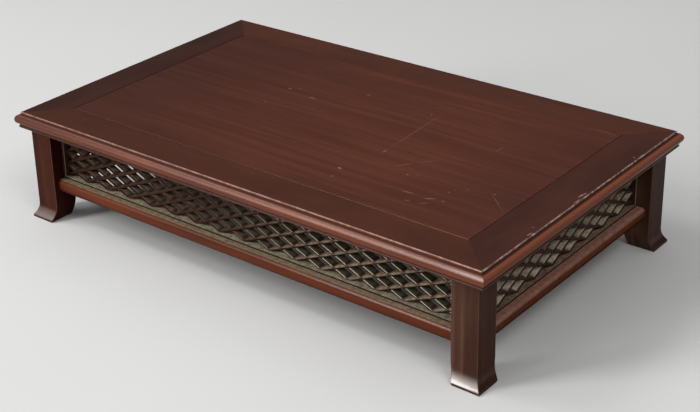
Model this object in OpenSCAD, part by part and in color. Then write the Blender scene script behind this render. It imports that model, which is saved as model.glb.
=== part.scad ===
// Low display stand in dark hardwood: a mitred frame and panel top with a moulded edge,
// four square legs with feet that sweep outward, and a diamond lattice panel on each side,
// carried on a round-nosed lower rail. Millimetres, +Z up, the floor at Z = 0, X along the length.

/* [Top] */
// Length of the flat top, from arris to arris
top_length = 500; // [440:5:560]
// Depth of the flat top, from arris to arris
top_depth = 304; // [270:2:340]
// Height of the stand, from the floor to the top
stand_height = 107; // [100:1:125]
// Thickness of the moulded frame
frame_thickness = 15.2; // [14.4:0.2:17]
// Width of the frame's flat face, from the arris to the panel
frame_face = 33.8; // [32:0.2:40]
// Reach of the round nose past the arris
nose_reach = 4.7; // [4:0.1:5.5]
// Height of the small bead that forms the arris
bead_height = 1.7; // [1.2:0.1:2]
// Height of the quirk that parts the bead from the nose
quirk_height = 0.5; // [0.4:0.1:1]
// Depth of the quirk behind the arris
quirk_depth = 0.4; // [0.2:0.1:1.2]
// Height of the step above the lip
step_height = 0.6; // [0.4:0.1:1]
// Reach of the step past the arris
step_reach = 1.5; // [0.8:0.1:1.8]
// Height of the lip at the foot of the moulding
lip_height = 2.4; // [1.8:0.1:3]
// Reach of the lip past the arris
lip_reach = 2.1; // [1.9:0.1:3]

/* [Panel of the top] */
// Thickness of the panel
panel_thickness = 7; // [6:0.2:8]
// Width of the shadow gap between the panel and the frame
shadow_gap = 0.9; // [0.5:0.1:1.5]
// Thickness of the panel's tongue
tongue_thickness = 3; // [2.4:0.1:3.4]
// Length of the panel's tongue inside the frame
tongue_length = 4.4; // [3:0.1:5.5]
// Width of a batten under the panel
batten_width = 22; // [16:1:30]
// Height of a batten below the panel
batten_height = 6.6; // [5:0.1:7]
// Distance between the two battens' centres
batten_spacing = 230; // [180:5:280]
// Length of a batten's stub tenon
batten_tenon = 8; // [5:0.5:10]

/* [Mitre splines] */
// Length of a spline along the mitre
spline_length = 20; // [14:1:22]
// Width of a spline across the mitre
spline_width = 14; // [10:1:15]
// Thickness of a spline
spline_thickness = 2.6; // [2:0.1:3]
// Distance from the arris corner to a spline's centre, along both edges
spline_place = 15; // [13:0.5:16]

/* [Legs] */
// Side of a leg's square section
leg_size = 24.5; // [22:0.5:28]
// Distance from the arris to a leg's outer face
leg_inset = 5.5; // [4:0.5:7]
// Sweep of a foot past the leg's outer face
foot_sweep = 4.8; // [3:0.2:7]
// Height at which the sweep of a foot begins
foot_height = 15; // [12:0.5:22]
// Height of the upright edge at the toe
toe_height = 2; // [0.8:0.1:4]
// Shift of a foot's inner faces toward the outside, at the floor
inner_sweep = 4.2; // [1:0.1:5]
// Height at which that shift begins
inner_height = 21; // [12:0.5:26]
// Side of the tenon that joins a leg to the frame
leg_tenon_side = 12; // [8:0.5:14]
// Height of that tenon
leg_tenon_height = 6.6; // [5:0.1:7]

/* [Lower rails] */
// Clear height under the lower rails
rail_clearance = 29; // [25:0.5:34]
// Height of a lower rail
rail_height = 13; // [11.5:0.5:14]
// Depth of a lower rail, from its nose to its back
rail_depth = 18.4; // [17.4:0.2:18.8]
// Distance from a leg's outer face back to the nose
rail_inset = 4.6; // [4:0.1:5.2]
// Radius of the nose's upper corner
rail_upper_radius = 3; // [2:0.5:4]
// Radius of the nose's lower corner
rail_lower_radius = 6; // [4:0.5:7]
// Length of a rail's stub tenon inside the leg
rail_tenon_length = 6; // [4:0.1:6.4]
// Thickness of a rail's stub tenon
rail_tenon_width = 7; // [5:0.1:7.4]
// Height of a rail's stub tenon
rail_tenon_height = 6.4; // [5:0.1:6.6]

/* [Lattice panels] */
// Diamonds along a long side
diamonds_long = 16; // [12:1:20]
// Diamonds along a short side
diamonds_short = 9; // [7:1:11]
// Slope of the slats on the long sides, in degrees
slat_slope = 23.8; // [20:0.2:27]
// Thickness of a slat, seen from the front
slat_thickness = 2.8; // [2:0.1:3.2]
// Depth of a slat, from front to back
slat_depth = 7; // [5:0.2:7.4]
// Distance from a leg's outer face back to the slats
slat_setback = 15.6; // [15:0.1:16]
// Width of a panel's stile
stile_width = 2.8; // [2.4:0.1:4]
// Length of a stile's tongue inside the leg
stile_tongue = 2.4; // [1.5:0.1:3]
// Thickness of a stile's tongue
stile_tongue_thickness = 2; // [1.5:0.1:3]
// Reach of a panel's frame in front of the slats
border_reach = 2.8; // [0.3:0.1:3.2]
// Height of a panel's sill above the lower rail
sill_reveal = 1.2; // [0.8:0.1:2]
// Depth of the rebate that houses the sill
sill_rebate = 2.6; // [2:0.1:3]
// Least height of a panel's head rail
head_least = 4; // [3:0.1:6]

/* [Fits] */
// Clearance round a tenon, a tongue or a spline in its housing
fit = 0.1; // [0.05:0.01:0.15]
// Open line at a mitre
mitre_gap = 0.12; // [0.06:0.01:0.2]

/* [Hidden] */
$fn = 96;
eps = 0.01;
// Heights from the floor
frame_under = stand_height - frame_thickness;
panel_under = stand_height - panel_thickness;
rail_top = rail_clearance + rail_height;
sill_top = rail_top + sill_reveal;
// Round nose between the quirk above and the step below
nose_radius = (frame_thickness - bead_height - quirk_height - step_height - lip_height) / 2;
nose_centre_x = nose_reach - nose_radius;
nose_centre_y = lip_height + step_height + nose_radius;
// Distances from the middle of the stand
half_length = top_length / 2;
half_depth = top_depth / 2;
leg_face_x = half_length - leg_inset;
leg_face_y = half_depth - leg_inset;
gap_long = 2 * (leg_face_x - leg_size);
gap_short = 2 * (leg_face_y - leg_size);
half_leg = leg_size / 2;
// Radius of the foot's concave sweep, which starts upright and ends at the toe
sweep_drop = foot_height - toe_height;
sweep_radius = (sweep_drop * sweep_drop + foot_sweep * foot_sweep) / (2 * foot_sweep);
// Radius of the curve of its inner faces
inner_radius = (inner_height * inner_height + inner_sweep * inner_sweep) / (2 * inner_sweep);
// Mitre splines lie in the frame just above the legs' tenons
spline_under = frame_under + leg_tenon_height + 1;
// Lattice: both sides share one height of diamond
pitch_long = gap_long / diamonds_long;
pitch_short = gap_short / diamonds_short;
pitch_high = pitch_long * tan(slat_slope);
rows_high = floor(2 * (frame_under - sill_top - head_least) / pitch_high) / 2;
head_under = sill_top + rows_high * pitch_high;
border_back = slat_setback + slat_depth + fit;
border_front = slat_setback - border_reach;
border_depth = border_back - border_front;
// Tenons of the rails sit at the middle of the rail's depth
rail_tenon_back = rail_inset + rail_depth / 2 + rail_tenon_width / 2;
rail_tenon_low = rail_clearance + (rail_height - sill_rebate - rail_tenon_height) / 2;
// Browns of the wood
wood_frame = [0.28, 0.12, 0.09];
wood_panel = [0.40, 0.17, 0.11];
wood_leg = [0.30, 0.15, 0.11];
wood_rail = [0.46, 0.19, 0.10];
wood_slat = [0.38, 0.26, 0.19];
wood_hidden = [0.55, 0.40, 0.26];

// A side is drawn as the front one, seen from outside, with Y = 0 at the given distance
// from the middle of the stand, Y growing inward. Turns: 0 front, 1 right, 2 back, 3 left.
module at_side(turns, distance) {
    rotate([0, 0, 90 * turns]) translate([0, -distance, 0]) children();
}

// Moulded section of the frame: X outward from the arris, Y up from the underside
module frame_section() {
    bead = bead_height / 2;
    nose_top = nose_centre_y + nose_radius;
    difference() {
        union() {
            translate([-frame_face, 0]) square([frame_face + lip_reach - lip_height / 2, lip_height]);
            translate([lip_reach - lip_height / 2, lip_height / 2]) circle(lip_height / 2);
            translate([-frame_face, 0]) square([frame_face + step_reach, nose_centre_y]);
            translate([nose_centre_x, nose_centre_y]) circle(nose_radius);
            translate([-frame_face, 0]) square([frame_face + nose_centre_x, nose_top]);
            translate([-frame_face, 0]) square([frame_face - quirk_depth, frame_thickness - bead]);
            translate([-bead, frame_thickness - bead]) circle(bead);
            translate([-frame_face, frame_thickness - bead_height]) square([frame_face - bead, bead_height]);
        }
        // The step is cut back above the lip, up to the nose's own curve
        translate([step_reach, lip_height]) square([nose_reach, step_height]);
        // Groove for the panel's tongue
        translate([-frame_face - eps, frame_thickness - panel_thickness - fit])
            square([tongue_length + shadow_gap + fit + eps, tongue_thickness + 2 * fit]);
    }
}

// Outline that cuts both ends of a frame rail to the mitre
module mitre_outline(half) {
    out = nose_reach + 2;
    inside = frame_face + 2;
    cut = half - mitre_gap * sqrt(2) / 2;
    polygon([[-cut - out, -out], [cut + out, -out], [cut - inside, inside], [-cut + inside, inside]]);
}

module spline(clearance) {
    size = [spline_length, spline_width, spline_thickness];
    translate([half_length - spline_place, half_depth - spline_place, spline_under - clearance])
        rotate([0, 0, 45])
        translate([-spline_length / 2 - clearance, -spline_width / 2 - clearance, 0])
        cube([for (side = size) side + 2 * clearance]);
}

// Runs its children at all four corners, drawn for the corner at +X, +Y
module at_corners() {
    for (sx = [0, 1])
        for (sy = [0, 1])
            mirror([sx, 0, 0]) mirror([0, sy, 0]) children();
}

module leg_tenon(clearance) {
    side = leg_tenon_side + 2 * clearance;
    translate([leg_face_x - half_leg - side / 2, leg_face_y - half_leg - side / 2, frame_under - eps])
        cube([side, side, leg_tenon_height + eps + clearance]);
}

module batten_tenons(clearance) {
    half_width = batten_width / 2 - 2 + clearance;
    half_run = half_depth - frame_face + batten_tenon + clearance;
    low = panel_under - batten_height + 1 - clearance;
    for (sx = [-1, 1])
        translate([sx * batten_spacing / 2 - half_width, -half_run, low])
            cube([2 * half_width, 2 * half_run, batten_height - 2 + 2 * clearance]);
}

module frame_rail(turns, half, distance) {
    color(wood_frame) difference() {
        at_side(turns, distance) translate([0, 0, frame_under]) intersection() {
            translate([-half - nose_reach - 1, 0, 0]) rotate([90, 0, 90])
                linear_extrude(2 * (half + nose_reach + 1)) mirror([1, 0]) frame_section();
            translate([0, 0, -1]) linear_extrude(frame_thickness + 2) mitre_outline(half);
        }
        at_corners() {
            spline(fit);
            leg_tenon(fit);
        }
        batten_tenons(fit);
    }
}

module top_panel() {
    half_x = half_length - frame_face;
    half_y = half_depth - frame_face;
    key_depth = 1.6;
    color(wood_panel) difference() {
        union() {
            translate([-half_x + shadow_gap, -half_y + shadow_gap, panel_under])
                cube([2 * (half_x - shadow_gap), 2 * (half_y - shadow_gap), panel_thickness]);
            translate([-half_x - tongue_length, -half_y - tongue_length, panel_under])
                cube([2 * (half_x + tongue_length), 2 * (half_y + tongue_length), tongue_thickness]);
        }
        // Dovetail housings for the battens, open at both ends
        for (sx = [-1, 1])
            translate([sx * batten_spacing / 2, half_y + tongue_length + 1, panel_under])
                rotate([90, 0, 0]) linear_extrude(2 * (half_y + tongue_length + 1)) dovetail(fit, key_depth);
    }
}

// Dovetail key on top of a batten, wider at its top
module dovetail(clearance, depth) {
    low = batten_width / 2 - 4 + clearance;
    high = low + depth / 3;
    polygon([[-low, -eps], [low, -eps], [high, depth + clearance], [-high, depth + clearance]]);
}

module batten(sx) {
    half_y = half_depth - frame_face;
    key_depth = 1.6;
    color(wood_hidden) union() {
        translate([sx * batten_spacing / 2 - batten_width / 2, -half_y + fit, panel_under - batten_height])
            cube([batten_width, 2 * (half_y - fit), batten_height]);
        translate([sx * batten_spacing / 2, half_y - fit, panel_under])
            rotate([90, 0, 0]) linear_extrude(2 * (half_y - fit)) dovetail(0, key_depth);
        intersection() {
            batten_tenons(0);
            translate([sx * batten_spacing / 2 - batten_width, -half_depth, 0])
                cube([2 * batten_width, top_depth, stand_height]);
        }
    }
}

module mitre_splines() {
    color(wood_hidden) at_corners() spline(0);
}

// Side view of a leg, drawn with its outer face at X = leg_size
module leg_outline() {
    difference() {
        union() {
            square([leg_size, frame_under]);
            difference() {
                square([leg_size + foot_sweep, foot_height]);
                translate([leg_size + sweep_radius, foot_height]) circle(sweep_radius);
            }
        }
        // The curve runs a little past the inner face, so that the two meet at a clean angle
        difference() {
            translate([-1, -1]) square([inner_sweep + 2, inner_height + 1]);
            translate([inner_radius - 0.05, inner_height]) circle(inner_radius);
        }
    }
}

// Housings in the leg at +X, +Y for the tenon of a rail along X and the tongue of its stile.
// The faces given are the leg's outer ones, along the rail and across it.
module leg_housings(face_along, face_across) {
    inner = face_along - leg_size;
    tongue_back = slat_setback + (slat_depth + stile_tongue_thickness) / 2;
    translate([inner - eps, face_across - rail_tenon_back - fit, rail_tenon_low - fit])
        cube([rail_tenon_length + fit + eps, rail_tenon_width + 2 * fit, rail_tenon_height + 2 * fit]);
    translate([inner - eps, face_across - tongue_back - fit, sill_top - fit])
        cube([stile_tongue + fit + eps, stile_tongue_thickness + 2 * fit, head_under - sill_top + 2 * fit]);
}

module leg(left, front) {
    inner_x = leg_face_x - leg_size;
    inner_y = leg_face_y - leg_size;
    color(wood_leg) mirror([left, 0, 0]) mirror([0, front, 0]) difference() {
        union() {
            intersection() {
                translate([inner_x, inner_y + 2 * leg_size, 0]) rotate([90, 0, 0])
                    linear_extrude(2 * leg_size) leg_outline();
                translate([inner_x, inner_y, 0]) rotate([90, 0, 90])
                    linear_extrude(2 * leg_size) leg_outline();
            }
            leg_tenon(0);
        }
        leg_housings(leg_face_x, leg_face_y);
        // The same for the short side, with X and Y changing places
        mirror([1, -1, 0]) leg_housings(leg_face_y, leg_face_x);
    }
}

// Section of a lower rail: X inward from the leg's outer face, Y up from the floor
module rail_section() {
    upper = rail_upper_radius;
    lower = rail_lower_radius;
    difference() {
        union() {
            translate([rail_inset + upper, rail_top - upper]) circle(upper);
            translate([rail_inset + lower, rail_clearance + lower]) circle(lower);
            translate([rail_inset, rail_clearance + lower]) square([rail_depth, rail_height - lower - upper]);
            translate([rail_inset + upper, rail_clearance + lower])
                square([rail_depth - upper, rail_height - lower]);
            translate([rail_inset + lower, rail_clearance]) square([rail_depth - lower, rail_height]);
        }
        translate([border_front - fit, rail_top - sill_rebate]) square([rail_depth, sill_rebate + 1]);
    }
}

module lower_rail(turns, gap, face) {
    length = gap - 2 * fit;
    color(wood_rail) at_side(turns, face) union() {
        translate([-length / 2, 0, 0]) rotate([90, 0, 90]) linear_extrude(length) rail_section();
        translate([-gap / 2 - rail_tenon_length, rail_tenon_back - rail_tenon_width, rail_tenon_low])
            cube([gap + 2 * rail_tenon_length, rail_tenon_width, rail_tenon_height]);
    }
}

module sill(turns, gap, face) {
    color(wood_slat) at_side(turns, face)
        translate([-gap / 2 + fit, border_front, rail_top - sill_rebate])
        cube([gap - 2 * fit, border_depth, sill_rebate + sill_reveal]);
}

module head(turns, gap, face) {
    color(wood_slat) at_side(turns, face)
        translate([-gap / 2 + fit, border_front, head_under])
        cube([gap - 2 * fit, border_depth, frame_under - head_under]);
}

module stile(turns, gap, face, right_end) {
    tongue_front = slat_setback + slat_depth / 2 - stile_tongue_thickness / 2;
    color(wood_slat) at_side(turns, face) mirror([1 - right_end, 0, 0]) union() {
        translate([gap / 2 - stile_width, border_front, sill_top])
            cube([stile_width - fit, border_depth, head_under - sill_top]);
        translate([gap / 2 - stile_width / 2, tongue_front, sill_top])
            cube([stile_width / 2 + stile_tongue, stile_tongue_thickness, head_under - sill_top]);
    }
}

// Section of a slat: X across its thickness, Y inward from its rounded front edge
module slat_section() {
    nose = slat_thickness / 2;
    translate([0, nose]) circle(nose, $fn = 32);
    translate([-nose, nose]) square([slat_thickness, slat_depth - nose]);
}

// One slat that crosses the sill line at the given place, rising to the right
module slat(place, slope, reach) {
    translate([place, 0, sill_top]) rotate([0, -slope, 0]) translate([-reach / 4, 0, 0])
        rotate([0, 90, 0]) linear_extrude(reach * 1.5) slat_section();
}

// Half-lap notches along the crossing slats: the front half when front is 1, else the back half
module slat_notches(places, slope, reach, front) {
    half = slat_depth / 2;
    for (place = places)
        translate([place, 0, sill_top]) rotate([0, -slope, 0])
            translate([-reach / 4, front ? -1 : half - fit / 2, -slat_thickness / 2 - fit])
            cube([reach * 1.5, half + 1 + fit / 2, slat_thickness + 2 * fit]);
}

// The slats of one family in one side. Family 0 rises to the right and family 1 falls to the right.
// The family whose front halves run unbroken has over = 1.
module slats(turns, gap, face, pitch, family, over) {
    slope = atan(pitch_high / pitch);
    high = head_under - sill_top;
    reach = high / sin(slope) + 4 * slat_thickness;
    run = high / tan(slope);
    open_width = gap - 2 * stile_width;
    least = 3 * slat_thickness;
    first = ceil((gap / 2 - open_width / 2 + least - run) / pitch);
    last = floor((gap / 2 + open_width / 2 - least) / pitch);
    places = [for (i = [first : last]) -gap / 2 + i * pitch];
    color(wood_slat) at_side(turns, face) translate([0, slat_setback, 0])
        mirror([family, 0, 0]) intersection() {
            difference() {
                union() for (place = places) slat(place, slope, reach);
                mirror([1, 0, 0]) slat_notches(places, slope, reach, 1 - over);
            }
            translate([-open_width / 2, -1, sill_top]) cube([open_width, slat_depth + 2, high]);
        }
}

frame_rail(0, half_length, half_depth);  // front_frame_rail
frame_rail(2, half_length, half_depth);  // back_frame_rail
frame_rail(3, half_depth, half_length);  // left_frame_rail
frame_rail(1, half_depth, half_length);  // right_frame_rail
top_panel();
batten(-1);  // left_batten
batten(1);  // right_batten
mitre_splines();
leg(1, 1);  // front_left_leg
leg(0, 1);  // front_right_leg
leg(1, 0);  // back_left_leg
leg(0, 0);  // back_right_leg
lower_rail(0, gap_long, leg_face_y);  // front_lower_rail
lower_rail(2, gap_long, leg_face_y);  // back_lower_rail
lower_rail(3, gap_short, leg_face_x);  // left_lower_rail
lower_rail(1, gap_short, leg_face_x);  // right_lower_rail
sill(0, gap_long, leg_face_y);  // front_sill
sill(2, gap_long, leg_face_y);  // back_sill
sill(3, gap_short, leg_face_x);  // left_sill
sill(1, gap_short, leg_face_x);  // right_sill
head(0, gap_long, leg_face_y);  // front_head
head(2, gap_long, leg_face_y);  // back_head
head(3, gap_short, leg_face_x);  // left_head
head(1, gap_short, leg_face_x);  // right_head
stile(0, gap_long, leg_face_y, 0);  // front_stile_near_left_leg
stile(0, gap_long, leg_face_y, 1);  // front_stile_near_right_leg
stile(2, gap_long, leg_face_y, 1);  // back_stile_near_left_leg
stile(2, gap_long, leg_face_y, 0);  // back_stile_near_right_leg
stile(3, gap_short, leg_face_x, 1);  // left_stile_near_front_leg
stile(3, gap_short, leg_face_x, 0);  // left_stile_near_back_leg
stile(1, gap_short, leg_face_x, 0);  // right_stile_near_front_leg
stile(1, gap_short, leg_face_x, 1);  // right_stile_near_back_leg
slats(0, gap_long, leg_face_y, pitch_long, 0, 1);  // front_rising_slats
slats(0, gap_long, leg_face_y, pitch_long, 1, 0);  // front_falling_slats
slats(2, gap_long, leg_face_y, pitch_long, 0, 1);  // back_rising_slats
slats(2, gap_long, leg_face_y, pitch_long, 1, 0);  // back_falling_slats
slats(3, gap_short, leg_face_x, pitch_short, 0, 1);  // left_rising_slats
slats(3, gap_short, leg_face_x, pitch_short, 1, 0);  // left_falling_slats
slats(1, gap_short, leg_face_x, pitch_short, 0, 1);  // right_rising_slats
slats(1, gap_short, leg_face_x, pitch_short, 1, 0);  // right_falling_slats
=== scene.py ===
import math

import bmesh
import bpy
from mathutils import Matrix, Vector


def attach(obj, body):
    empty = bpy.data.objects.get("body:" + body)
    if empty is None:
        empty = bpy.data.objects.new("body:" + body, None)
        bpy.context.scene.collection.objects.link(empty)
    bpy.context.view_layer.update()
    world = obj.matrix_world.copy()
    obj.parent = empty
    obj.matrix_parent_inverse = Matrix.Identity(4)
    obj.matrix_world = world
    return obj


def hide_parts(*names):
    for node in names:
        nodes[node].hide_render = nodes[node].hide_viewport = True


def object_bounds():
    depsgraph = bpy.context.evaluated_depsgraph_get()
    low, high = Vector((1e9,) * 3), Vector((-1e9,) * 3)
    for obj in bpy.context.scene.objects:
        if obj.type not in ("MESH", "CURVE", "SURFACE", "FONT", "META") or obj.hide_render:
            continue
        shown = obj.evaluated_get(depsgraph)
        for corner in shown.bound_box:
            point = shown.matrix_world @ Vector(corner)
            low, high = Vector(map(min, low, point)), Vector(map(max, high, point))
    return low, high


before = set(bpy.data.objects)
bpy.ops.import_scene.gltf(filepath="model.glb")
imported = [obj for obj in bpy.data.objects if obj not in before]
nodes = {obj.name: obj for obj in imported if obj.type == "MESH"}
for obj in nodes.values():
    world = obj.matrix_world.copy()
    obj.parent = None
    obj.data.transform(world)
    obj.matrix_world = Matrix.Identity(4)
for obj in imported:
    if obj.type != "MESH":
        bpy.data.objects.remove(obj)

cad_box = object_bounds()
MM = 0.001

# Camera: the photograph's viewpoint, worked out from the stand's corners
CAMERA_PLACE = Vector((748.7, -935.7, 629.0)) * MM
CAMERA_AZIMUTH = math.radians(40.608)
CAMERA_ELEVATION = math.radians(24.023)
CAMERA_ROLL = math.radians(-2.065)
IMAGE_WIDTH = 700
IMAGE_HEIGHT = 412
FOCAL_LENGTH_PX = 1475.0
PRINCIPAL_POINT_PX = (292.7, 134.8)
SENSOR_WIDTH = 36.0


def add_camera():
    data = bpy.data.cameras.new("camera")
    camera = bpy.data.objects.new("camera", data)
    bpy.context.scene.collection.objects.link(camera)
    turn = Matrix.Rotation(CAMERA_AZIMUTH, 4, "Z")
    tilt = Matrix.Rotation(math.pi / 2 - CAMERA_ELEVATION, 4, "X")
    roll = Matrix.Rotation(CAMERA_ROLL, 4, "Z")
    camera.matrix_world = Matrix.Translation(CAMERA_PLACE) @ turn @ tilt @ roll
    data.sensor_fit = "HORIZONTAL"
    data.sensor_width = SENSOR_WIDTH
    data.lens = FOCAL_LENGTH_PX / IMAGE_WIDTH * SENSOR_WIDTH
    data.shift_x = (IMAGE_WIDTH / 2 - PRINCIPAL_POINT_PX[0]) / IMAGE_WIDTH
    data.shift_y = (PRINCIPAL_POINT_PX[1] - IMAGE_HEIGHT / 2) / IMAGE_WIDTH
    data.clip_end = 20
    bpy.context.scene.camera = camera


add_camera()


ALONG_X = (1, 0, 0)
ALONG_Y = (0, 1, 0)
ALONG_Z = (0, 0, 1)

# Tones of the woods: the dark, middle and light colours of each grain, or a darker and a lighter one
FRAME_TONES = ((0.095, 0.023, 0.009), (0.13, 0.032, 0.0125), (0.17, 0.046, 0.018))
PANEL_TONES = ((0.063, 0.0165, 0.009), (0.078, 0.0205, 0.0105), (0.1, 0.027, 0.0135))
PANEL_DARK = (0.022, 0.008, 0.006)
STILE_TONES = ((0.045, 0.018, 0.011), (0.062, 0.025, 0.016), (0.085, 0.036, 0.023))
RAIL_TONES = ((0.052, 0.01, 0.0025), (0.08, 0.0155, 0.004), (0.115, 0.025, 0.007))
SLAT_TONES = ((0.022, 0.009, 0.006), (0.034, 0.014, 0.009), (0.052, 0.023, 0.015))
PLAIN_TONES = ((0.2, 0.11, 0.055), (0.27, 0.155, 0.08), (0.34, 0.205, 0.11))
RED_LEG_TONES = ((0.025, 0.0055, 0.0025), (0.036, 0.008, 0.0035), (0.052, 0.013, 0.006))
OLIVE_LEG_TONES = ((0.036, 0.014, 0.008), (0.056, 0.024, 0.014), (0.1, 0.05, 0.033))
TOP_TONES = {
    "front": ((0.04, 0.0135, 0.009), (0.056, 0.018, 0.0105)),
    "back": ((0.046, 0.016, 0.0105), (0.062, 0.02, 0.012)),
    "left": ((0.018, 0.0085, 0.0075), (0.029, 0.012, 0.0095)),
    "right": ((0.028, 0.0105, 0.008), (0.041, 0.015, 0.011)),
}
INNER_EDGE_TONES = ((0.08, 0.032, 0.021), (0.1, 0.042, 0.028), (0.13, 0.056, 0.038))
# Colours of the arris, lighter than the wood: partly wear, partly a painted highlight
ARRIS_WEAR_AND_HIGHLIGHT_TONES = {
    "front": ((0.14, 0.06, 0.044), (0.24, 0.125, 0.1)),
    "back": ((0.15, 0.065, 0.045), (0.24, 0.12, 0.09)),
    "left": ((0.15, 0.065, 0.045), (0.24, 0.12, 0.09)),
    "right": ((0.12, 0.055, 0.042), (0.4, 0.3, 0.26)),
}

# Tones of dust, some of it brightened as painted light, and of painted shade, painted highlights and a
# painted sheen
FRONT_DUST = ((0.21, 0.185, 0.125), (0.34, 0.3, 0.21))
SLAT_DUST = ((0.14, 0.093, 0.066), (0.23, 0.18, 0.12))
# Dust on the side slats, made brighter than dust as painted light
SIDE_DUST_AND_LIGHT = ((0.4, 0.32, 0.235), (0.58, 0.49, 0.375))
SIDE_SILL_DUST = ((0.15, 0.1, 0.07), (0.24, 0.17, 0.12))
RAIL_DUST = ((0.19, 0.155, 0.095), (0.29, 0.235, 0.145))
# Light pinkish tone on the short sides' lower rails, spread round the nose: a painted sheen, not dust
SIDE_RAIL_PAINTED_SHEEN = ((0.29, 0.145, 0.105), (0.35, 0.18, 0.135))
# A dark tone painted where shade falls: the lip, the lower rails' undersides, the groove edges and the left
# ends of the long noses
PAINTED_SHADE_TONE = (0.03, 0.009, 0.005)
# Dark tone on the legs' right faces: painted shade
RIGHT_FACE_PAINTED_SHADE = (0.02, 0.001, 0.0)
# Redder tone for the short sides' lower nose, darkened as painted shade
LOWER_NOSE_RED_AND_SHADE = (0.13, 0.024, 0.002)
# Light tone on the upper nose of the short sides: a painted highlight
NOSE_PAINTED_HIGHLIGHT = (0.26, 0.075, 0.033)
# A pale tone painted on the front sweep of the feet: a painted highlight
FOOT_PAINTED_HIGHLIGHT = (0.62, 0.57, 0.52)
# Pale cream line on the falling slats' noses: a painted highlight
SLAT_PAINTED_HIGHLIGHT = (0.78, 0.71, 0.56)
# Dark olive given to the falling slats' dust towards the right end: painted shade
OLIVE_DUST_PAINTED_SHADE = (0.1, 0.11, 0.065)

# Sizes of the stand that the finishes follow
TOP = cad_box[1][2]
NOSE_REACH = 4.7 * MM
ARRIS_X = cad_box[1][0] - NOSE_REACH
ARRIS_Y = cad_box[1][1] - NOSE_REACH
FRONT_GAP = 440 * MM
FRONT_DIAMONDS = 16
CROSSING_STEP = FRONT_GAP / FRONT_DIAMONDS / 2
SLAT_SLOPE = math.radians(23.8)

# Bands of a frame rail: inward from the arris, and down from the top
ARRIS_INWARD = (1.0 * MM, 0.45 * MM)
ARRIS_DOWN = (1.9 * MM, 1.1 * MM)
WAX_ENDS_DOWN = (12 * MM, 11 * MM)
LIP_SHADOW_DOWN = (12.4 * MM, 10.4 * MM)

# Stretches along the length, from the middle of the stand, over which a finish changes
PANEL_LEFT_FADE = (-220 * MM, 30 * MM)
PANEL_RIGHT_FADE = (100 * MM, 210 * MM)
NOSE_LEFT_FADE = (-220 * MM, -100 * MM)
NOSE_SHINE_RISE = (50 * MM, 200 * MM)
CORNER_SHINE_RISE = (210 * MM, 250 * MM)
RAIL_SHINE_RISE = (0.0, 200 * MM)
INNER_EDGE_FADE = (-50 * MM, 170 * MM)
SLAT_RIGHT_END = (-60 * MM, 120 * MM)

# Wax on the noses: on a short or back rail, along the front one, and added at its near corner
NOSE_SHINE = 0.25
FRONT_NOSE_SHINE = (0.2, 0.42)
CORNER_SHINE = 0.58

# How strongly a painted highlight lightens the front sweep of each foot
FOOT_PAINTED_HIGHLIGHT_SHARE = {"front_left": 0.2, "front_right": 0.45, "back_left": 0.1, "back_right": 0.1}

# Dust and painted light on the front slats: the reach of the dust round the nose at the right end, which
# paints the rising noses lit, its share at the left and the right end, and the strength of a painted
# highlight on the nose at the right end
FRONT_SLAT_DUST_AND_LIGHT = {"rising": (1.0, 0.3, 0.9, 0.0), "falling": (0.0, 1.0, 0.9, 0.95)}

# Rounding of the edges
FRAME_ROUNDING = 0.2 * MM
SLAT_ROUNDING = 0.3 * MM
RAIL_ROUNDING = 0.4 * MM
PANEL_ROUNDING = 0.4 * MM
LEG_ROUNDING = 0.5 * MM
MERGE_DISTANCE = 0.01 * MM
FLAT_ANGLE = math.radians(0.5)
ROUNDED_ANGLE = math.radians(40)


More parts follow.
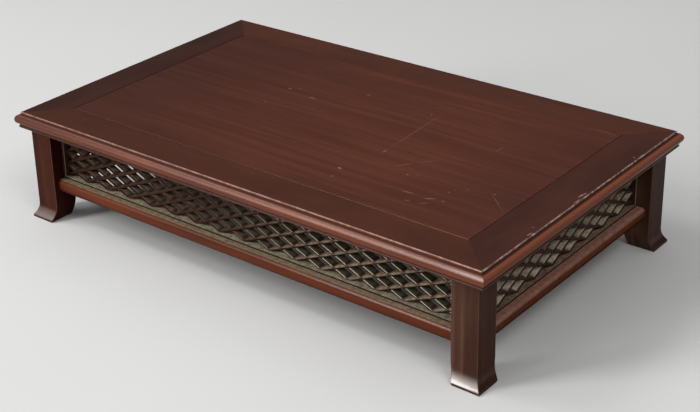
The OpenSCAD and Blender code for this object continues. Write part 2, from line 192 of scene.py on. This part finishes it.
class Shader:
    """One material's node tree, with short calls for the nodes that the woods share."""

    def __init__(self, name):
        self.material = bpy.data.materials.new(name)
        self.material.use_nodes = True
        self.tree = self.material.node_tree
        self.surface = self.tree.nodes["Principled BSDF"]

    def add(self, kind, values=(), **settings):
        node = self.tree.nodes.new(kind)
        for key, value in settings.items():
            setattr(node, key, value)
        for key, value in dict(values).items():
            self.put(node.inputs[key], value)
        return node

    def put(self, socket, value):
        if isinstance(value, bpy.types.NodeSocket):
            self.tree.links.new(value, socket)
        else:
            socket.default_value = value

    def place(self):
        return self.add("ShaderNodeTexCoord").outputs["Object"]

    def mapped(self, vector, kind="POINT", **values):
        names = {"location": "Location", "rotation": "Rotation", "scale": "Scale"}
        values = {names[key]: value for key, value in values.items()}
        return self.add("ShaderNodeMapping", {"Vector": vector, **values}, vector_type=kind).outputs["Vector"]

    def noise(self, vector, detail, scale=1.0, roughness=0.5, distortion=0.0):
        values = {"Vector": vector, "Scale": scale, "Detail": detail, "Roughness": roughness}
        return self.add("ShaderNodeTexNoise", {**values, "Distortion": distortion}).outputs["Fac"]

    def math(self, operation, *operands, clamp=False):
        values = dict(enumerate(operands))
        return self.add("ShaderNodeMath", values, operation=operation, use_clamp=clamp).outputs["Value"]

    def remap(self, value, low, high, new_low=0.0, new_high=1.0):
        values = {"Value": value, "From Min": low, "From Max": high, "To Min": new_low, "To Max": new_high}
        return self.add("ShaderNodeMapRange", values, interpolation_type="SMOOTHSTEP").outputs["Result"]

    def blend(self, factor, low, high):
        node = self.add("ShaderNodeMix", data_type="RGBA")
        for index, value in ((0, factor), (6, low), (7, high)):
            if isinstance(value, tuple):
                value = (*value, 1.0)
            self.put(node.inputs[index], value)
        return node.outputs[2]

    def facing(self, axis):
        """How far the surface looks along X, Y or Z."""
        normal = self.add("ShaderNodeNewGeometry").outputs["Normal"]
        return self.add("ShaderNodeSeparateXYZ", {"Vector": normal}).outputs[axis]

    def across(self, axis):
        """Distance from the middle of the stand along X, Y or Z."""
        return self.add("ShaderNodeSeparateXYZ", {"Vector": self.place()}).outputs[axis]

    def bump(self, height, distance):
        values = {"Height": height, "Distance": distance, "Strength": 1.0}
        return self.add("ShaderNodeBump", values).outputs["Normal"]

    def finish(self, colour, roughness, normal, specular, coat=0.0, coat_roughness=0.1):
        for key, value in (("Base Color", colour), ("Roughness", roughness), ("Normal", normal),
                           ("Coat Weight", coat), ("Coat Roughness", coat_roughness),
                           ("Specular IOR Level", specular)):
            self.put(self.surface.inputs[key], value)
        return self.material


def along_grain(shade, direction, shift):
    """Object coordinates turned so that X runs along the grain, moved to another part of the wood."""
    turn = Vector(direction).rotation_difference(Vector((1, 0, 0))).to_euler()
    return shade.mapped(shade.place(), rotation=turn, location=(shift * 0.37, shift * 0.61, shift * 0.23))


def grain(shade, wood):
    """Streaks, fibres and pores, each 0 to 1."""
    streaks = shade.noise(shade.mapped(wood, scale=(5, 130, 130)), detail=5, roughness=0.6, distortion=0.6)
    fibres = shade.noise(shade.mapped(wood, scale=(70, 1900, 1900)), detail=3, roughness=0.65)
    pores = shade.noise(shade.mapped(wood, scale=(150, 2600, 2600)), detail=1)
    clouds = shade.noise(shade.mapped(wood, scale=(9, 26, 26)), detail=3)
    return streaks, fibres, shade.remap(pores, 0.62, 0.74), clouds


def hardwood(name, direction, shift, tones, roughness, specular, extra=None, coat_roughness=0.16):
    """Stained and polished hardwood. Tones are the dark, middle and light colours of its grain."""
    shade = Shader(name)
    wood = along_grain(shade, direction, shift)
    streaks, fibres, pores, clouds = grain(shade, wood)
    dark, middle, light = tones
    colour = shade.blend(shade.remap(clouds, 0.3, 0.72), dark, middle)
    colour = shade.blend(shade.remap(streaks, 0.42, 0.75), colour, light)
    colour = shade.blend(shade.math("MULTIPLY", shade.remap(fibres, 0.5, 0.8), 0.35), colour, dark)
    colour = shade.blend(shade.math("MULTIPLY", pores, 0.45), colour, tuple(0.4 * value for value in dark))
    rough = shade.math("ADD", roughness - 0.08, shade.math("MULTIPLY", clouds, 0.16))
    coat = 0.0
    if extra:
        colour, rough, coat = extra(shade, wood, colour, rough)
    height = shade.math("SUBTRACT", shade.math("MULTIPLY", streaks, 0.3), shade.math("MULTIPLY", pores, 0.2))
    return shade.finish(colour, rough, shade.bump(height, 0.0001), specular, coat, coat_roughness)


def on_top(pixel):
    """The place on the stand's top that a pixel of the photograph shows."""
    across = pixel[0] - PRINCIPAL_POINT_PX[0]
    down = pixel[1] - PRINCIPAL_POINT_PX[1]
    turn = bpy.context.scene.camera.matrix_world.to_3x3()
    ray = turn @ Vector((across, -down, -FOCAL_LENGTH_PX))
    return CAMERA_PLACE + ray * ((TOP - CAMERA_PLACE.z) / ray.z)


def marks(shade, strokes):
    """Scratches: each stroke has two ends in pixels of the photograph, a width in mm, and a strength."""
    total = None
    place = shade.place()
    for start_pixel, end_pixel, width, strength in strokes:
        start = on_top(start_pixel)
        along = on_top(end_pixel) - start
        turn = (0, 0, math.atan2(along.y, along.x))
        local = shade.mapped(place, "TEXTURE", location=start + along / 2, rotation=turn,
                             scale=(along.length / 2, width * MM, 1))
        core = shade.add("ShaderNodeTexGradient", {"Vector": local}, gradient_type="SPHERICAL").outputs["Fac"]
        core = shade.math("MULTIPLY", core, strength)
        total = core if total is None else shade.math("MAXIMUM", total, core)
    broken = shade.noise(place, scale=700, detail=2)
    return shade.math("MULTIPLY", total, shade.remap(broken, 0.3, 0.55, 0.25, 1.0), clamp=True)


# Marks on the top, placed where the photograph shows them, in the form that marks takes
HAIRLINES = [
    ((382.2, 153.1), (447.6, 110.5), 0.7, 0.3),
    ((381.4, 153.0), (388.0, 149.2), 0.7, 0.8),
    ((393.0, 166.7), (416.0, 162.4), 0.7, 0.4),
    ((416.0, 162.4), (442.0, 160.5), 0.7, 0.3),
    ((494.5, 152.0), (505.5, 146.5), 0.7, 0.3),
    ((589.6, 127.5), (619.5, 135.6), 0.6, 0.35),
    ((490.0, 191.0), (504.0, 213.0), 0.6, 0.3),
]
FRONT_SCRATCHES = [
    ((400.7, 190.2), (414.9, 194.0), 0.9, 0.6),
    ((422.0, 198.4), (437.8, 198.9), 0.9, 0.7),
    ((415.0, 203.5), (432.0, 202.8), 0.8, 0.4),
    ((403.5, 199.8), (411.0, 201.2), 0.8, 0.5),
    ((440.0, 201.0), (446.0, 201.5), 0.9, 0.6),
    ((337.7, 166.5), (341.4, 169.5), 1.4, 0.9),
    ((330.0, 177.0), (334.0, 175.0), 1.0, 0.5),
]
LEFT_NICKS = [
    ((288.0, 88.0), (292.0, 89.0), 1.2, 0.9),
    ((299.0, 88.5), (302.0, 89.0), 1.0, 0.5),
    ((309.0, 97.5), (316.0, 98.5), 1.0, 0.9),
    ((264.5, 101.5), (266.0, 101.5), 1.4, 0.8),
    ((365.0, 97.0), (372.0, 93.5), 0.8, 0.5),
    ((294.0, 141.0), (296.0, 142.0), 1.0, 0.4),
]
RIGHT_NICKS = [
    ((447.6, 192.3), (450.0, 192.5), 1.1, 0.9),
    ((453.9, 190.2), (455.9, 190.1), 1.0, 0.5),
    ((466.0, 189.5), (469.0, 190.5), 0.9, 0.6),
    ((494.5, 194.1), (495.6, 194.9), 1.2, 0.8),
    ((407.0, 173.8), (407.8, 175.2), 1.0, 0.7),
    ((416.9, 174.5), (418.7, 175.1), 0.9, 0.6),
    ((431.3, 116.0), (432.0, 113.5), 0.8, 0.5),
]
PANEL_MARKS = HAIRLINES + FRONT_SCRATCHES + LEFT_NICKS + RIGHT_NICKS
RIGHT_RAIL_SCUFFS = [
    ((576.8, 198.5), (586.6, 192.3), 0.9, 0.8),
    ((578.3, 196.0), (583.8, 195.6), 0.9, 0.7),
    ((583.3, 193.6), (587.5, 194.5), 0.9, 0.8),
    ((572.4, 204.5), (581.7, 198.0), 0.8, 0.6),
    ((530.5, 227.1), (535.5, 227.9), 0.8, 0.4),
    ((526.0, 236.0), (533.0, 232.5), 0.9, 0.7),
    ((632.4, 157.1), (635.8, 157.9), 0.9, 0.6),
]

PANEL_SCRATCH = (0.34, 0.2, 0.155)
FRAME_SCRATCH = (0.42, 0.31, 0.27)


def scratched_panel(shade, wood, colour, rough):
    """The panel is darker towards its ends, and has fine scratches."""
    left_end = shade.remap(shade.across("X"), *PANEL_LEFT_FADE, 0.46, 0.0)
    right_end = shade.remap(shade.across("X"), *PANEL_RIGHT_FADE, 0.0, 0.22)
    colour = shade.blend(shade.math("ADD", left_end, right_end), colour, PANEL_DARK)
    worn = marks(shade, PANEL_MARKS)
    rough = shade.math("ADD", rough, shade.math("MULTIPLY", worn, 0.3))
    return shade.blend(worn, colour, PANEL_SCRATCH), rough, 0.0


def moulded(side, axis, distance, strokes=None):
    """The flat top of a frame rail is duller than its moulded side, which is waxed. The arris is lighter,
    partly from wear and partly as a painted highlight, and the lip below is painted shade. On the short sides
    the nose is redder, with a painted highlight on its upper part and painted shade on its lower part; on
    the long ones it is painted in shade at the left end."""
    def apply(shade, wood, colour, rough):
        up = shade.facing("Z")
        flat = shade.remap(up, 0.8, 0.97)
        cloud = shade.noise(shade.mapped(wood, scale=(14, 34, 34)), detail=4, roughness=0.6)
        top = shade.blend(shade.remap(cloud, 0.35, 0.7), *TOP_TONES[side])
        colour = shade.blend(shade.math("MULTIPLY", flat, 0.85), colour, top)
        rough = shade.math("ADD", rough, shade.math("MULTIPLY", flat, 0.08))
        if axis == "X":
            # On a short side the upper nose is lightened as a painted highlight, and the lower nose is redder
            # and darkened as painted shade
            painted_nose_highlight = shade.math("MULTIPLY", shade.remap(up, 0.3, 0.5), shade.math("SUBTRACT", 1.0, flat))
            colour = shade.blend(shade.math("MULTIPLY", painted_nose_highlight, 0.8), colour, NOSE_PAINTED_HIGHLIGHT)
            colour = shade.blend(shade.remap(up, 0.1, 0.5, 0.85, 0.0), colour, LOWER_NOSE_RED_AND_SHADE)
        else:
            # On a long side the nose is darkened towards its left end: painted shade
            left_end = shade.remap(shade.across("X"), *NOSE_LEFT_FADE, 0.5, 0.0)
            left_end = shade.math("MULTIPLY", left_end, shade.math("SUBTRACT", 1.0, flat))
            colour = shade.blend(left_end, colour, PAINTED_SHADE_TONE)
        colour = lip_shadow(shade, colour)
        if strokes:
            worn = shade.math("MULTIPLY", marks(shade, strokes), flat)
            colour = shade.blend(worn, colour, FRAME_SCRATCH)
        out = shade.math("ABSOLUTE", shade.across(axis))
        arris = shade.math("MULTIPLY", shade.remap(out, *(distance - inward for inward in ARRIS_INWARD)),
                           shade.remap(shade.across("Z"), *(TOP - down for down in ARRIS_DOWN)))
        # The arris band is lightened, partly as wear and partly as a painted highlight
        patch = shade.noise(shade.place(), scale=140, detail=4, roughness=0.7)
        painted_highlight = shade.blend(shade.remap(patch, 0.4, 0.62), *ARRIS_WEAR_AND_HIGHLIGHT_TONES[side])
        colour = shade.blend(arris, colour, painted_highlight)
        shine = NOSE_SHINE
        if side == "front":
            shine = shade.math("ADD", shade.remap(shade.across("X"), *NOSE_SHINE_RISE, *FRONT_NOSE_SHINE),
                               shade.remap(shade.across("X"), *CORNER_SHINE_RISE, 0.0, CORNER_SHINE))
        above_lip = shade.remap(shade.across("Z"), *(TOP - down for down in WAX_ENDS_DOWN), 0.0, shine)
        wax = shade.math("MULTIPLY", shade.remap(up, 0.05, 0.4), shade.remap(up, 0.8, 0.93, 1.0, 0.0))
        return colour, rough, shade.math("MULTIPLY", wax, above_lip)
    return apply


def lip_shadow(shade, colour):
    """The lip under the nose is darkened with painted shade."""
    low = shade.remap(shade.across("Z"), *(TOP - down for down in LIP_SHADOW_DOWN), 0.75, 0.0)
    return shade.blend(low, colour, PAINTED_SHADE_TONE)


def inner_edge(shade, wood, colour, rough):
    """The edges by the shadow gap are painted in shade towards the left end and at the lip, and are lighter
    towards the right.
    """
    # Painted shade towards the left end
    left = shade.remap(shade.across("X"), *INNER_EDGE_FADE, 0.8, 0.0)
    return shade.blend(left, lip_shadow(shade, colour), PAINTED_SHADE_TONE), rough, 0.0


def round_nose(tones, low):
    """A lower rail: where it faces up, dust on the long sides and a painted sheen on the short ones; wax on
    its nose; and painted shade on its underside.
    """
    def apply(shade, wood, colour, rough):
        # Surfaces facing down are darkened with painted shade
        painted_underside_shade = shade.remap(shade.facing("Z"), -0.5, 0.1, 0.6, 0.0)
        colour = shade.blend(painted_underside_shade, colour, PAINTED_SHADE_TONE)
        colour, rough, wax = dust_and_painted_light(0.85, tones, low, 0.995, 0.25)(shade, wood, colour, rough)
        rough = shade.math("ADD", rough, shade.math("MULTIPLY", painted_underside_shade, 0.35), clamp=True)
        wax = shade.math("MULTIPLY", wax, shade.remap(shade.across("X"), *RAIL_SHINE_RISE, 0.3, 1.6))
        return colour, rough, shade.math("MULTIPLY", wax, shade.remap(shade.facing("Z"), 0.0, 0.3))
    return apply


def waxed_foot(painted_highlight_share):
    """The front sweep of each foot is waxed to a shine, and lightened toward a pale tone as a painted
    highlight.
    The upright faces are dull, and the one to the right is darkened as painted shade."""
    def apply(shade, wood, colour, rough):
        up = shade.facing("Z")
        forward = shade.remap(shade.facing("Y"), -0.5, -0.25, 1.0, 0.0)
        # Faces turned to the right are darkened with painted shade
        colour = shade.blend(shade.remap(shade.facing("X"), 0.4, 0.8, 0.0, 0.5), colour, RIGHT_FACE_PAINTED_SHADE)
        # The front sweep is lightened toward a pale tone as a painted highlight
        painted_highlight = shade.math("MULTIPLY", shade.remap(up, 0.15, 0.6, 0.0, painted_highlight_share), forward)
        colour = shade.blend(painted_highlight, colour, FOOT_PAINTED_HIGHLIGHT)
        wax = shade.math("MULTIPLY", shade.remap(up, 0.1, 0.3), shade.remap(forward, 0.0, 1.0, 0.3, 1.0))
        return colour, rough, wax
    return apply


def dust_patches(shade):
    """Uneven patches in which dust lies thicker and lighter."""
    return shade.noise(shade.place(), scale=260, detail=4, roughness=0.65)


def dust_and_painted_light(amount, tones, low=0.45, high=0.8, shine=0.0):
    """A cover on the faces that look up, over waxed wood: dust, which on the side slats is brightened as
    painted light, and on the short sides' rails a painted sheen.
    """
    def apply(shade, wood, colour, rough):
        patch = dust_patches(shade)
        share = shade.remap(patch, 0.2, 0.6, 0.6 * amount, amount)
        cover = shade.math("MULTIPLY", shade.remap(shade.facing("Z"), low, high), share, clamp=True)
        dust_and_light = shade.blend(shade.remap(patch, 0.35, 0.7), *tones)
        rough = shade.math("ADD", rough, shade.math("MULTIPLY", cover, 0.5), clamp=True)
        wax = shade.math("MULTIPLY", shade.math("SUBTRACT", 1.0, cover, clamp=True), shine)
        return shade.blend(cover, colour, dust_and_light), rough, wax
    return apply


def front_slats(family):
    """Dust on the front slats, with painted light and shade. Less dust at the crossings paints them in shade.
    Towards the right end the dust wraps the noses of the rising ones as painted light, the falling ones take
    a darker olive as painted shade, and their noses carry a painted highlight."""
    reach, left_share, right_share, painted_highlight_share = FRONT_SLAT_DUST_AND_LIGHT[family]

    def apply(shade, wood, colour, rough):
        right_end = shade.remap(shade.across("X"), *SLAT_RIGHT_END)
        # Towards the right end the dust reaches round the rising noses: painted light
        up = shade.math("ADD", shade.facing("Z"), shade.math("MULTIPLY", right_end, reach))
        patch = dust_patches(shade)
        share = shade.math("MULTIPLY", shade.remap(patch, 0.2, 0.6, 0.65, 1.0),
                           shade.remap(right_end, 0.0, 1.0, left_share, right_share))
        turn = shade.math("MULTIPLY", shade.across("X"), 2 * math.pi / CROSSING_STEP)
        # Less dust at the crossings, which darkens them: painted shade
        painted_crossing_shade = shade.remap(shade.math("COSINE", turn), 0.2, 0.9, 1.0, 0.3)
        cover = shade.math("MULTIPLY", shade.remap(up, 0.66, 0.9), shade.math("MULTIPLY", share, painted_crossing_shade))
        dust_and_light = shade.blend(shade.remap(patch, 0.35, 0.7), *SLAT_DUST)
        if family == "falling":
            # Towards the right end the falling slats' dust turns dark olive: painted shade
            dust_and_light = shade.blend(right_end, dust_and_light, OLIVE_DUST_PAINTED_SHADE)
        colour = shade.blend(cover, colour, dust_and_light)
        rough = shade.math("ADD", rough, shade.math("MULTIPLY", cover, 0.5), clamp=True)
        # A thin band on the nose is lightened towards the right end: a painted highlight
        painted_highlight_band = shade.math("MULTIPLY", shade.remap(shade.facing("Z"), 0.25, 0.4),
                          shade.remap(shade.facing("Z"), 0.45, 0.6, painted_highlight_share, 0.0))
        colour = shade.blend(shade.math("MULTIPLY", painted_highlight_band, right_end), colour, SLAT_PAINTED_HIGHLIGHT)
        return colour, rough, 0.0
    return apply


def rounded_copy(node, width, material, edge_material=None):
    """A copy of a CAD piece with its flat faces made whole and its edges rounded."""
    mesh = nodes[node].data.copy()
    work = bmesh.new()
    work.from_mesh(mesh)
    bmesh.ops.remove_doubles(work, verts=work.verts, dist=MERGE_DISTANCE)
    bmesh.ops.dissolve_limit(work, angle_limit=FLAT_ANGLE, verts=work.verts, edges=work.edges)
    work.to_mesh(mesh)
    work.free()
    mesh.materials.clear()
    mesh.materials.append(material)
    piece = bpy.data.objects.new(node + "_finished", mesh)
    bpy.context.scene.collection.objects.link(piece)
    bevel = piece.modifiers.new("rounding", "BEVEL")
    bevel.width = width
    bevel.segments = 3
    bevel.limit_method = "ANGLE"
    bevel.angle_limit = ROUNDED_ANGLE
    if edge_material:
        mesh.materials.append(edge_material)
        bevel.material = 1
    even = piece.modifiers.new("even_shading", "WEIGHTED_NORMAL")
    even.mode = "FACE_AREA"
    for polygon in mesh.polygons:
        polygon.use_smooth = True
    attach(piece, "root")
    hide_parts(node)


def finish_frame(side, direction, shift):
    strokes = RIGHT_RAIL_SCUFFS if side == "right" else None
    axis, distance = ("Y", ARRIS_Y) if side in ("front", "back") else ("X", ARRIS_X)
    wood = hardwood(side + "_frame_wood", direction, shift, FRAME_TONES, 0.32, 0.12,
                    moulded(side, axis, distance, strokes), 0.3)
    edge = hardwood(side + "_frame_edge", direction, shift, INNER_EDGE_TONES, 0.4, 0.15, inner_edge)
    rounded_copy(side + "_frame_rail", FRAME_ROUNDING, wood, edge)


def finish_lattice(side, direction, shift):
    """The lower rail of a side, and the lattice panel that stands on it."""
    long_side = side in ("front", "back")
    # Dust on the long rails; on the short ones a painted sheen laid on the same way
    rail_dust_and_sheen = RAIL_DUST if long_side else SIDE_RAIL_PAINTED_SHEEN
    wood = hardwood(side + "_rail_wood", direction, shift + 10, RAIL_TONES, 0.34, 0.08 if long_side else 0.0,
                    round_nose(rail_dust_and_sheen, 0.9 if long_side else -0.3), 0.3)
    rounded_copy(side + "_lower_rail", RAIL_ROUNDING, wood)
    border_dust = dust_and_painted_light(1.0, FRONT_DUST if long_side else SIDE_SILL_DUST)
    border = hardwood(side + "_border_wood", direction, shift + 20, SLAT_TONES, 0.4, 0.05, border_dust)
    for piece in (side + "_sill", side + "_head"):
        rounded_copy(piece, SLAT_ROUNDING, border)
    stile_wood = hardwood(side + "_stile_wood", ALONG_Z, shift + 24, STILE_TONES, 0.4, 0.15)
    stile_edge = hardwood(side + "_stile_edge", ALONG_Z, shift + 24, (*FRONT_DUST, FRONT_DUST[1]), 0.6, 0.1)
    for piece in [name for name in nodes if name.startswith(side + "_stile")]:
        rounded_copy(piece, SLAT_ROUNDING, stile_wood, stile_edge)
    for family, way in (("rising", 1), ("falling", -1)):
        if side in ("back", "left"):
            way = -way
        along = Vector(direction) * math.cos(SLAT_SLOPE) + Vector(ALONG_Z) * way * math.sin(SLAT_SLOPE)
        if side == "front":
            dust_and_light = front_slats(family)
        elif family == "rising":
            # On the short sides the rising slats' dust is brightened as painted light
            dust_and_light = dust_and_painted_light(1.0, FRONT_DUST if long_side else SIDE_DUST_AND_LIGHT, 0.66, 0.9)
        else:
            dust_and_light = dust_and_painted_light(0.25, FRONT_DUST, 0.66, 0.9)
        specular = 0.0 if (side, family) == ("front", "falling") else 0.08
        name = f"{side}_{family}_slat_wood"
        wood = hardwood(name, along, shift + 30 + way, SLAT_TONES, 0.34, specular, dust_and_light)
        rounded_copy(f"{side}_{family}_slats", SLAT_ROUNDING, wood)


def finish_stand():
    for side, direction, shift in (("front", ALONG_X, 1), ("back", ALONG_X, 2),
                                   ("left", ALONG_Y, 3), ("right", ALONG_Y, 4)):
        finish_frame(side, direction, shift)
        finish_lattice(side, direction, shift)
    for number, name in enumerate(("front_left", "front_right", "back_left", "back_right")):
        tones = RED_LEG_TONES if name.endswith("left") else OLIVE_LEG_TONES
        wood = hardwood(name + "_leg_wood", ALONG_Z, 41 + number, tones, 0.4, 0.05,
                        waxed_foot(FOOT_PAINTED_HIGHLIGHT_SHARE[name]), 0.12)
        # The leg's rounded edges take a lighter tone: a painted highlight along the arrises
        edge = hardwood(name + "_leg_edge", ALONG_Z, 41 + number, INNER_EDGE_TONES, 0.4, 0.1)
        rounded_copy(name + "_leg", LEG_ROUNDING, wood, edge)
    panel = hardwood("panel_wood", ALONG_X, 50, PANEL_TONES, 0.38, 0.18, scratched_panel)
    panel_edge = hardwood("panel_edge_wood", ALONG_X, 50, FRAME_TONES, 0.38, 0.2, inner_edge)
    rounded_copy("top_panel", PANEL_ROUNDING, panel, panel_edge)
    plain = hardwood("plain_wood", ALONG_Y, 60, PLAIN_TONES, 0.6, 0.3)
    for name in ("left_batten", "right_batten"):
        rounded_copy(name, PANEL_ROUNDING, plain)
    for material_slot in nodes["mitre_splines"].material_slots:
        material_slot.material = plain


finish_stand()


FLOOR_REACH = 6


def add_floor():
    mesh = bpy.data.meshes.new("floor")
    corners = [(x * FLOOR_REACH, y * FLOOR_REACH, 0) for x, y in ((-1, -1), (1, -1), (1, 1), (-1, 1))]
    mesh.from_pydata(corners, [], [(0, 1, 2, 3)])
    floor = bpy.data.objects.new("floor", mesh)
    bpy.context.scene.collection.objects.link(floor)
    shade = Shader("floor_paper")
    patch = shade.noise(shade.place(), scale=3, detail=3)
    colour = shade.blend(patch, (0.56, 0.56, 0.555), (0.6, 0.6, 0.595))
    shade.finish(colour, 0.9, shade.bump(patch, 0.0001), specular=0.2)
    mesh.materials.append(shade.material)


add_floor()


STAND_MIDDLE = (0, 0, 0.05)


def area_light(name, place, target, size, power):
    data = bpy.data.lights.new(name, "AREA")
    data.shape = "RECTANGLE"
    data.size = size[0]
    data.size_y = size[1]
    data.energy = power
    light = bpy.data.objects.new(name, data)
    bpy.context.scene.collection.objects.link(light)
    direction = Vector(target) - Vector(place)
    light.location = place
    light.rotation_euler = direction.to_track_quat("-Z", "Y").to_euler()


# Each light's name, place and size in metres, and power in watts
LIGHTS = [
    ("key_light", (-1.5, -2.4, 1.3), (0.8, 2.6), 90),
    ("top_light", (-2.1, -0.9, 2.7), (1.2, 1.2), 30),
    ("strip_light", (-0.55, -2.8, 1.3), (0.3, 1.2), 8),
    ("side_light", (1.9, -0.9, 2.3), (1.2, 1.2), 24),
]
for light_name, light_place, light_size, light_power in LIGHTS:
    area_light(light_name, light_place, STAND_MIDDLE, light_size, light_power)


def add_world():
    """A studio that is dim near the floor and bright overhead."""
    world = bpy.data.worlds.new("studio")
    world.use_nodes = True
    bpy.context.scene.world = world
    tree = world.node_tree
    place = tree.nodes.new("ShaderNodeTexCoord")
    parts = tree.nodes.new("ShaderNodeSeparateXYZ")
    ramp = tree.nodes.new("ShaderNodeMapRange")
    ramp.interpolation_type = "SMOOTHSTEP"
    for socket, value in (("From Min", 0.42), ("From Max", 0.78), ("To Min", 0.08), ("To Max", 0.7)):
        ramp.inputs[socket].default_value = value
    tree.links.new(place.outputs["Generated"], parts.inputs[0])
    tree.links.new(parts.outputs["Z"], ramp.inputs["Value"])
    background = tree.nodes["Background"]
    background.inputs["Color"].default_value = (1, 1, 1, 1)
    tree.links.new(ramp.outputs["Result"], background.inputs["Strength"])


add_world()
bpy.context.scene.view_settings.view_transform = "Standard"
